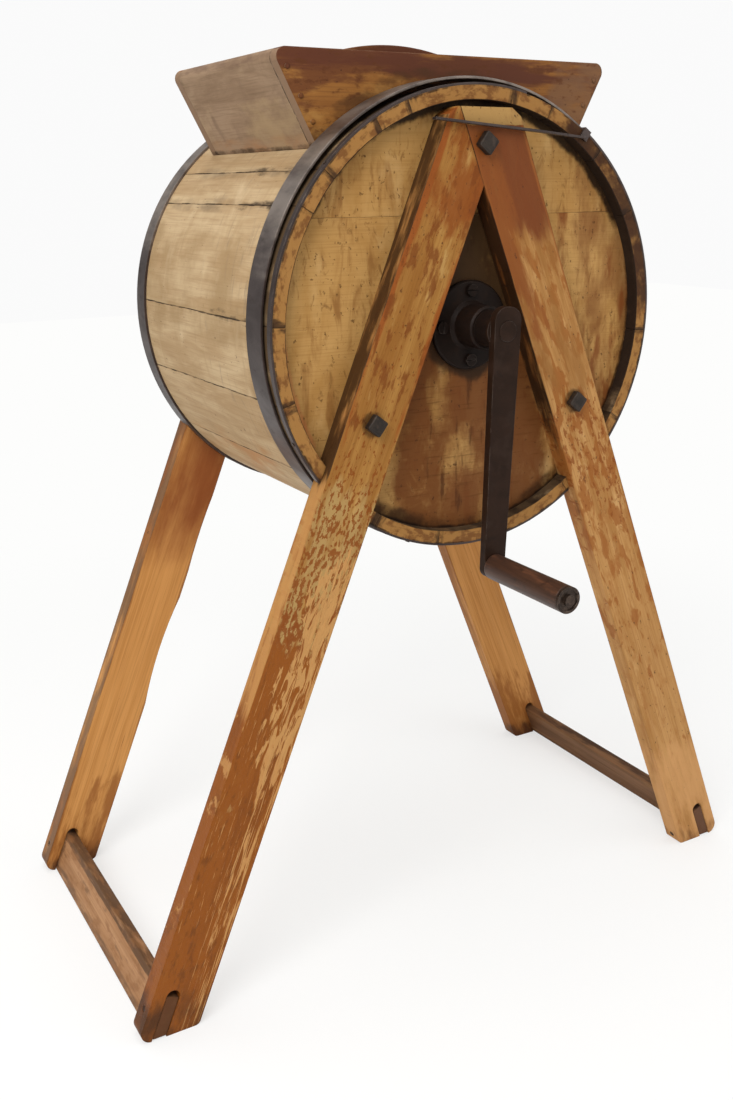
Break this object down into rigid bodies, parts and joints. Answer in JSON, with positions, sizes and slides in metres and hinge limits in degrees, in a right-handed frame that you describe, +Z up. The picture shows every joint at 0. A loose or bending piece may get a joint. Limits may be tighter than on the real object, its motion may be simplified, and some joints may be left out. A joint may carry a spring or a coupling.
{
  "type": "floor butter churn",
  "caption": "Floor butter churn: a horizontal wooden stave barrel on A-frame legs, with a flared hopper, a lift-off lid and a hand crank that turns a slatted dasher.",
  "frame": {"origin": "on the floor, midway between the feet and midway between the handle's end and the back bolts", "axes": "+Z up, -Y towards the side with the crank, +X to the right of someone facing the crank"},
  "size_m": [0.7182, 0.4989, 0.87],
  "materials": {
    "stave_wood": "bare aged wood, greyed",
    "head_wood": "bare aged wood, stained",
    "leg_wood": "old worn varnish",
    "red_painted_wood": "red-brown paint, worn through",
    "dark_wood": "old dark stain",
    "handle_wood": "hand-polished",
    "dasher_wood": "bare wood",
    "hoop_iron": "old iron, rubbed bright at its edges",
    "bolt_iron": "old black iron",
    "nail_iron": "old iron",
    "crank_iron": "old black iron, rubbed at its rims",
    "worn_steel": "rubbed steel"
  },
  "bodies": {
    "churn": {"back_bearing": "crank_iron", "back_bearing_screws": "crank_iron", "back_head_lower": "head_wood", "back_head_upper": "head_wood", "back_hoop": "hoop_iron", "back_leg_left": "leg_wood", "back_leg_right": "leg_wood", "chime_band_bottom": "hoop_iron", "chime_band_left": "hoop_iron", "chime_band_nails": "nail_iron", "chime_band_right": "hoop_iron", "front_bearing": "crank_iron", "front_bearing_screws": "crank_iron", "front_head_lower": "head_wood", "front_head_upper": "head_wood", "front_hoop": "hoop_iron", "front_leg_left": "red_painted_wood", "front_leg_right": "leg_wood", "hopper_back": "red_painted_wood", "hopper_front": "red_painted_wood", "hopper_left": "leg_wood", "hopper_nails": "nail_iron", "hopper_right": "leg_wood", "leg_bolts": "bolt_iron", "leg_nuts": "bolt_iron", "stave_1": "stave_wood", "stave_10": "stave_wood", "stave_11": "stave_wood", "stave_12": "stave_wood", "stave_13": "stave_wood", "stave_14": "stave_wood", "stave_15": "stave_wood", "stave_16": "stave_wood", "stave_17": "stave_wood", "stave_2": "stave_wood", "stave_3": "stave_wood", "stave_5": "stave_wood", "stave_6": "stave_wood", "stave_7": "stave_wood", "stave_8": "stave_wood", "stave_9": "stave_wood", "stave_feed_back": "stave_wood", "stave_feed_front": "stave_wood", "stretcher_left": "leg_wood", "stretcher_pins": "dark_wood", "stretcher_right": "dark_wood"},
    "crank": {"drive_shaft": "worn_steel", "crank_arm": "crank_iron", "handle_spindle": "worn_steel", "handle_washer": "worn_steel", "dasher_arm_front": "dasher_wood", "dasher_arm_back": "dasher_wood", "dasher_slat_1": "dasher_wood", "dasher_slat_2": "dasher_wood", "dasher_slat_3": "dasher_wood", "dasher_slat_4": "dasher_wood"},
    "grip": {"handle_grip": "handle_wood"},
    "lid": {"lid_board": "red_painted_wood", "lid_grip": "red_painted_wood"}
  },
  "joints": [
    {"name": "crank_turn", "type": "hinge", "parent": "churn", "child": "crank", "pos_m": [0, -0.08, 0.623], "axis": [0, 1, 0], "continuous": true},
    {"name": "grip_spin", "type": "hinge", "parent": "crank", "child": "grip", "pos_m": [-0.00743, -0.19, 0.41013], "axis": [0, 1, 0], "continuous": true},
    {"name": "lid_lift", "type": "slide", "parent": "churn", "child": "lid", "axis": [0, 0, 1], "range_m": [0, 0.15]}
  ]
}
